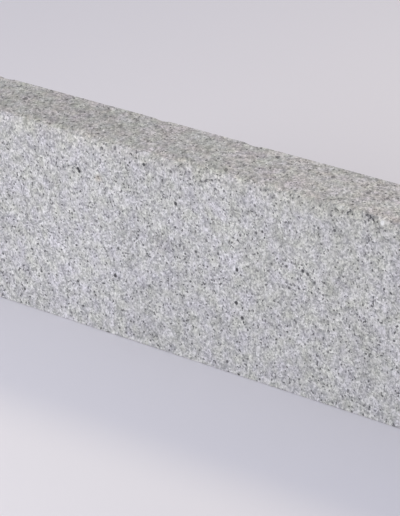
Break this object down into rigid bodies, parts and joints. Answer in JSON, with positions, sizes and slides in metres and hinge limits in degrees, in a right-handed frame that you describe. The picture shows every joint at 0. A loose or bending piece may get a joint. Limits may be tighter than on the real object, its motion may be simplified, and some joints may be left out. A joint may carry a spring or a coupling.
{
  "type": "granite kerb stone",
  "caption": "Straight granite kerb stone with a dressed front and top, rounded and spalled top arrises, and a sawn back, bed and ends.",
  "frame": {"origin": "middle of the bed, the face that the stone stands on", "axes": "+X along the stone's length, +Y from the dressed front to the back, +Z from the bed up to the dressed top"},
  "size_m": [1, 0.1, 0.25],
  "materials": {
    "granite": "light grey granite with black mica specks, dressed front and top, sawn elsewhere"
  },
  "bodies": {
    "root": {"kerb_stone": "granite"}
  },
  "joints": []
}
